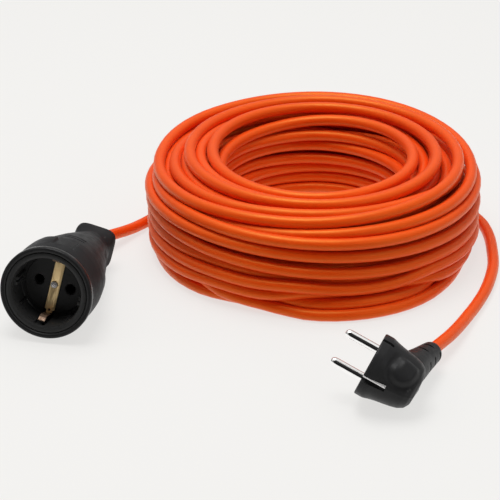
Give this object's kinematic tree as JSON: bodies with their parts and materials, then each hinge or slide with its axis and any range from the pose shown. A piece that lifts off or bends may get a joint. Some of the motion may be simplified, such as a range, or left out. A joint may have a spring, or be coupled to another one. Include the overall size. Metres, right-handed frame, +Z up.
{
  "type": "extension cord",
  "caption": "Coiled round orange cable with a round in-line earthed socket on one end and an angled two-pin earthed plug on the other.",
  "frame": {"origin": "on the floor under the middle of the whole cord set's box", "axes": "+Z up from the floor; +Y from the socket's mouth towards its cable, the long way of the layout; +X to the right when looking into the socket's mouth, with the plug's pins pointing to -X"},
  "size_m": [0.2675, 0.3047, 0.065],
  "materials": {
    "cable_sheath": "satin soft PVC",
    "black_plastic": "satin moulded",
    "black_rubber": "matt moulded",
    "brass": "dull stamped",
    "spring_bronze": "plated spring strip",
    "nickel": "bright nickel plate",
    "zinc": "zinc plated",
    "core_brown": "satin",
    "core_blue": "satin",
    "core_green_yellow": "satin, two-colour stripe"
  },
  "bodies": {
    "cord_set": {"cable_coil": "cable_sheath", "socket_lead": "cable_sheath", "plug_lead": "cable_sheath", "socket_front_insert": "black_plastic", "socket_rear_shell": "black_rubber", "socket_earth_strap": "brass", "socket_centre_screw": "nickel", "socket_contact_live": "brass", "socket_contact_neutral": "brass", "socket_terminal_screw_live": "zinc", "socket_terminal_screw_neutral": "zinc", "socket_earth_terminal": "brass", "socket_terminal_screw_earth": "zinc", "socket_clamp_bar": "zinc", "socket_clamp_screw_left": "zinc", "socket_clamp_screw_right": "zinc", "socket_grommet": "black_rubber", "socket_cable_end": "cable_sheath", "socket_core_brown": "core_brown", "socket_core_blue": "core_blue", "socket_core_green_yellow": "core_green_yellow", "plug_body": "black_rubber", "plug_boot": "black_rubber", "plug_pin_carrier": "black_plastic", "plug_pin_live": "nickel", "plug_pin_neutral": "nickel", "plug_earth_strip_front": "nickel", "plug_earth_strip_rear": "nickel", "plug_earth_sleeve": "brass", "plug_earth_bridge": "brass", "plug_cable_end": "cable_sheath", "plug_core_brown": "core_brown", "plug_core_blue": "core_blue", "plug_core_green_yellow": "core_green_yellow"},
    "earth_clip_top": {"socket_earth_clip_top": "spring_bronze"},
    "earth_clip_bottom": {"socket_earth_clip_bottom": "spring_bronze"}
  },
  "joints": [
    {"name": "earth_clip_top_spring", "type": "hinge", "parent": "cord_set", "child": "earth_clip_top", "pos_m": [-0.10288, -0.08295, 0.0438], "axis": [-0.9744, 0.0381, 0.2217], "range_deg": [0, 7.5], "stiffness_Nm_per_rad": 0.6},
    {"name": "earth_clip_bottom_spring", "type": "hinge", "parent": "cord_set", "child": "earth_clip_bottom", "pos_m": [-0.11112, -0.089, 0.00866], "axis": [0.9744, -0.0381, -0.2217], "range_deg": [0, 7.5], "stiffness_Nm_per_rad": 0.6}
  ]
}
